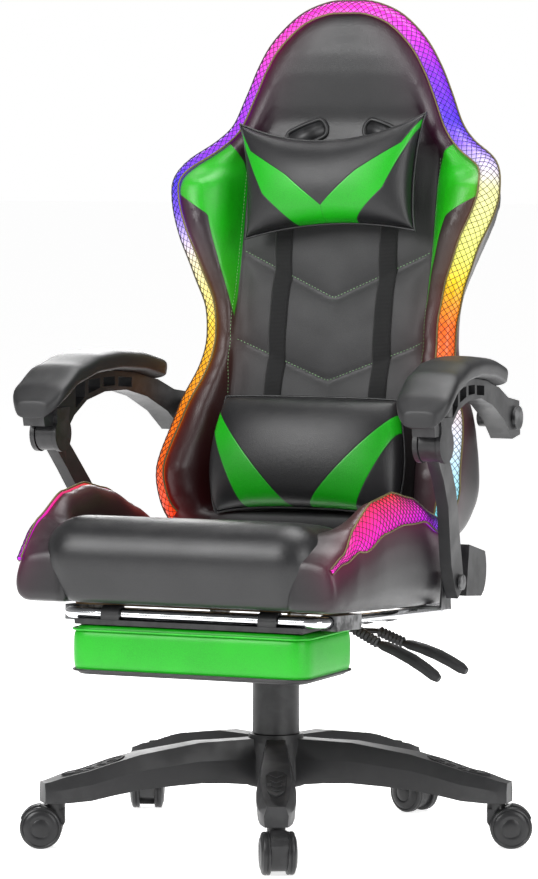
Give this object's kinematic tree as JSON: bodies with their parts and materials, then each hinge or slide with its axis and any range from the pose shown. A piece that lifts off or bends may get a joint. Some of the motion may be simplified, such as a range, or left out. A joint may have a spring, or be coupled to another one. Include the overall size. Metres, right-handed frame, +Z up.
{
  "type": "gaming chair",
  "caption": "Racing-style gaming chair with reclining back, lit side mesh, linkage armrests, pillows and a pull-out footrest on a star base with casters.",
  "frame": {"origin": "centre of the whole chair's footprint, on the floor; the gas lift's axis stands 20 mm to the sitter's right of it (-X)", "axes": "+Z up, the chair faces -Y, +X is the sitter's left"},
  "size_m": [0.7214, 0.7115, 1.2148],
  "materials": {
    "nylon": "satin black nylon",
    "leather_black": "glossy black synthetic leather",
    "leather_green": "glossy green synthetic leather",
    "steel": "black powder coat",
    "chrome": "polished chrome",
    "webbing": "matte woven strap",
    "plywood": "raw board",
    "light_mesh": "lit mesh over a colour light strip"
  },
  "bodies": {
    "base": {"star_base": "nylon", "gas_cylinder": "steel", "lower_column_cover": "nylon"},
    "caster_1": {"caster_hood_1": "nylon"},
    "caster_1_left_wheel": {"caster_wheel_left_1": "nylon"},
    "caster_1_right_wheel": {"caster_wheel_right_1": "nylon"},
    "caster_2": {"caster_hood_2": "nylon"},
    "caster_2_left_wheel": {"caster_wheel_left_2": "nylon"},
    "caster_2_right_wheel": {"caster_wheel_right_2": "nylon"},
    "caster_3": {"caster_hood_3": "nylon"},
    "caster_3_left_wheel": {"caster_wheel_left_3": "nylon"},
    "caster_3_right_wheel": {"caster_wheel_right_3": "nylon"},
    "caster_4": {"caster_hood_4": "nylon"},
    "caster_4_left_wheel": {"caster_wheel_left_4": "nylon"},
    "caster_4_right_wheel": {"caster_wheel_right_4": "nylon"},
    "caster_5": {"caster_hood_5": "nylon"},
    "caster_5_left_wheel": {"caster_wheel_left_5": "nylon"},
    "caster_5_right_wheel": {"caster_wheel_right_5": "nylon"},
    "gas_rod": {"gas_rod": "chrome", "upper_column_cover": "nylon"},
    "mechanism": {"tilt_housing": "steel"},
    "tension_knob": {"tension_knob": "nylon"},
    "height_lever": {"height_lever_rod": "nylon", "height_lever_paddle": "nylon"},
    "tilt_lever": {"tilt_lever_rod": "nylon", "tilt_lever_paddle": "nylon"},
    "seat": {"seat_board": "plywood", "seat_plate": "steel", "seat_cushion": "leather_black", "seat_bolster_left": "leather_black", "seat_bolster_right": "leather_black", "seat_light_left": "light_mesh", "seat_light_right": "light_mesh", "footrest_guide_left": "nylon", "footrest_guide_right": "nylon", "recline_bracket_left": "steel", "recline_bracket_right": "steel", "hinge_cover_left": "nylon", "hinge_cover_right": "nylon"},
    "recline_lever": {"recline_lever": "nylon"},
    "footrest_slide": {"footrest_tube": "chrome"},
    "footrest_pad": {"footrest_board": "nylon", "footrest_pad": "leather_green"},
    "backrest": {"back_frame": "steel", "back_cushion": "leather_black", "back_light": "light_mesh", "back_strap_left": "webbing", "back_strap_right": "webbing", "arm_rear_pin_left": "steel", "arm_rear_pin_right": "steel"},
    "head_pillow": {"head_pillow": "leather_black"},
    "lumbar_pillow": {"lumbar_pillow": "leather_black"},
    "arm_strut_left": {"arm_strut_left": "nylon"},
    "armrest_left": {"arm_body_left": "nylon", "arm_pad_left": "leather_black"},
    "arm_strut_right": {"arm_strut_right": "nylon"},
    "armrest_right": {"arm_body_right": "nylon", "arm_pad_right": "leather_black"}
  },
  "joints": [
    {"name": "caster_swivel_1", "type": "hinge", "parent": "base", "child": "caster_1", "pos_m": [0.11422, -0.30147, 0.064], "axis": [0, 0, 1], "continuous": true},
    {"name": "caster_wheel_left_1", "type": "hinge", "parent": "caster_1", "child": "caster_1_left_wheel", "pos_m": [0.12472, -0.31966, 0.03], "axis": [0.866, 0.5, 0], "continuous": true},
    {"name": "caster_wheel_right_1", "type": "hinge", "parent": "caster_1", "child": "caster_1_right_wheel", "pos_m": [0.12472, -0.31966, 0.03], "axis": [0.866, 0.5, 0], "continuous": true},
    {"name": "caster_swivel_2", "type": "hinge", "parent": "base", "child": "caster_2", "pos_m": [0.30819, 0.03449, 0.064], "axis": [0, 0, 1], "continuous": true},
    {"name": "caster_wheel_left_2", "type": "hinge", "parent": "caster_2", "child": "caster_2_left_wheel", "pos_m": [0.32738, 0.04304, 0.03], "axis": [-0.4067, 0.9135, 0], "continuous": true},
    {"name": "caster_wheel_right_2", "type": "hinge", "parent": "caster_2", "child": "caster_2_right_wheel", "pos_m": [0.32738, 0.04304, 0.03], "axis": [-0.4067, 0.9135, 0], "continuous": true},
    {"name": "caster_swivel_3", "type": "hinge", "parent": "base", "child": "caster_3", "pos_m": [0.04861, 0.32279, 0.064], "axis": [0, 0, 1], "continuous": true},
    {"name": "caster_wheel_left_3", "type": "hinge", "parent": "caster_3", "child": "caster_3_left_wheel", "pos_m": [0.06822, 0.31526, 0.03], "axis": [0.3584, 0.9336, 0], "continuous": true},
    {"name": "caster_wheel_right_3", "type": "hinge", "parent": "caster_3", "child": "caster_3_right_wheel", "pos_m": [0.06822, 0.31526, 0.03], "axis": [0.3584, 0.9336, 0], "continuous": true},
    {"name": "caster_swivel_4", "type": "hinge", "parent": "base", "child": "caster_4", "pos_m": [-0.30579, 0.165, 0.064], "axis": [0, 0, 1], "continuous": true},
    {"name": "caster_wheel_left_4", "type": "hinge", "parent": "caster_4", "child": "caster_4_left_wheel", "pos_m": [-0.31433, 0.18418, 0.03], "axis": [-0.9135, -0.4067, 0], "continuous": true},
    {"name": "caster_wheel_right_4", "type": "hinge", "parent": "caster_4", "child": "caster_4_right_wheel", "pos_m": [-0.31433, 0.18418, 0.03], "axis": [-0.9135, -0.4067, 0], "continuous": true},
    {"name": "caster_swivel_5", "type": "hinge", "parent": "base", "child": "caster_5", "pos_m": [-0.26524, -0.22081, 0.064], "axis": [0, 0, 1], "continuous": true},
    {"name": "caster_wheel_left_5", "type": "hinge", "parent": "caster_5", "child": "caster_5_left_wheel", "pos_m": [-0.28442, -0.22935, 0.03], "axis": [0.4067, -0.9135, 0], "continuous": true},
    {"name": "caster_wheel_right_5", "type": "hinge", "parent": "caster_5", "child": "caster_5_right_wheel", "pos_m": [-0.28442, -0.22935, 0.03], "axis": [0.4067, -0.9135, 0], "continuous": true},
    {"name": "seat_lift", "type": "slide", "parent": "base", "child": "gas_rod", "axis": [0, 0, 1], "range_m": [-0.02, 0.055]},
    {"name": "seat_swivel", "type": "hinge", "parent": "gas_rod", "child": "mechanism", "pos_m": [-0.02, 0, 0.3], "axis": [0, 0, 1], "continuous": true},
    {"name": "seat_tilt", "type": "hinge", "parent": "mechanism", "child": "seat", "pos_m": [-0.02, -0.07, 0.314], "axis": [-1, 0, 0], "range_deg": [0, 8], "stiffness_Nm_per_rad": 170, "springref_deg": -14.32},
    {"name": "tension_knob_turn", "type": "hinge", "parent": "mechanism", "child": "tension_knob", "pos_m": [-0.02, -0.065, 0.27], "axis": [0, 0, 1], "continuous": true},
    {"name": "height_lever_lift", "type": "hinge", "parent": "mechanism", "child": "height_lever", "pos_m": [0.02, -0.04, 0.312], "axis": [0, -1, 0], "range_deg": [0, 5], "stiffness_Nm_per_rad": 3, "springref_deg": -8.59},
    {"name": "tilt_lever_lift", "type": "hinge", "parent": "mechanism", "child": "tilt_lever", "pos_m": [0.02, 0.05, 0.3], "axis": [0, -1, 0], "range_deg": [0, 4.5], "stiffness_Nm_per_rad": 3, "springref_deg": -8.59},
    {"name": "back_recline", "type": "hinge", "parent": "seat", "child": "backrest", "pos_m": [-0.02, 0.135, 0.398], "axis": [-1, 0, 0], "range_deg": [-9, 32]},
    {"name": "recline_lever_pull", "type": "hinge", "parent": "seat", "child": "recline_lever", "pos_m": [-0.02, 0.135, 0.398], "axis": [-1, 0, 0], "range_deg": [0, 22], "stiffness_Nm_per_rad": 1.5, "springref_deg": -17.19},
    {"name": "arm_strut_left_swing", "type": "hinge", "parent": "seat", "child": "arm_strut_left", "pos_m": [0.252, 0.01, 0.38], "axis": [-1, 0, 0], "range_deg": [-7.95, 28.2]},
    {"name": "armrest_left_pivot", "type": "hinge", "parent": "arm_strut_left", "child": "armrest_left", "pos_m": [0.277, -0.132, 0.585], "axis": [-1, 0, 0], "range_deg": [-8.7, 2.5]},
    {"name": "arm_strut_right_swing", "type": "hinge", "parent": "seat", "child": "arm_strut_right", "pos_m": [-0.292, 0.01, 0.38], "axis": [-1, 0, 0], "range_deg": [-7.95, 28.2]},
    {"name": "armrest_right_pivot", "type": "hinge", "parent": "arm_strut_right", "child": "armrest_right", "pos_m": [-0.317, -0.132, 0.585], "axis": [-1, 0, 0], "range_deg": [-8.7, 2.5]},
    {"name": "footrest_slide", "type": "slide", "parent": "seat", "child": "footrest_slide", "axis": [0, -0.9986, 0.0523], "range_m": [0, 0.26]},
    {"name": "footrest_flip", "type": "hinge", "parent": "footrest_slide", "child": "footrest_pad", "pos_m": [-0.02, -0.29036, 0.3462], "axis": [-1, 0, 0], "range_deg": [0, 170]},
    {"name": "head_pillow_slide", "type": "slide", "parent": "backrest", "child": "head_pillow", "axis": [0, 0.1908, 0.9816], "range_m": [-0.03, 0.03]},
    {"name": "lumbar_pillow_slide", "type": "slide", "parent": "backrest", "child": "lumbar_pillow", "axis": [0, 0.1908, 0.9816], "range_m": [0, 0.12]}
  ],
  "couplings": [
    {"joint": "arm_strut_left_swing", "follows": "back_recline", "ratio": 0.88},
    {"joint": "armrest_left_pivot", "follows": "back_recline", "ratio": -0.27},
    {"joint": "arm_strut_right_swing", "follows": "back_recline", "ratio": 0.88},
    {"joint": "armrest_right_pivot", "follows": "back_recline", "ratio": -0.27},
    {"joint": "footrest_flip", "follows": "footrest_slide", "rad_per_m": 11.41}
  ]
}
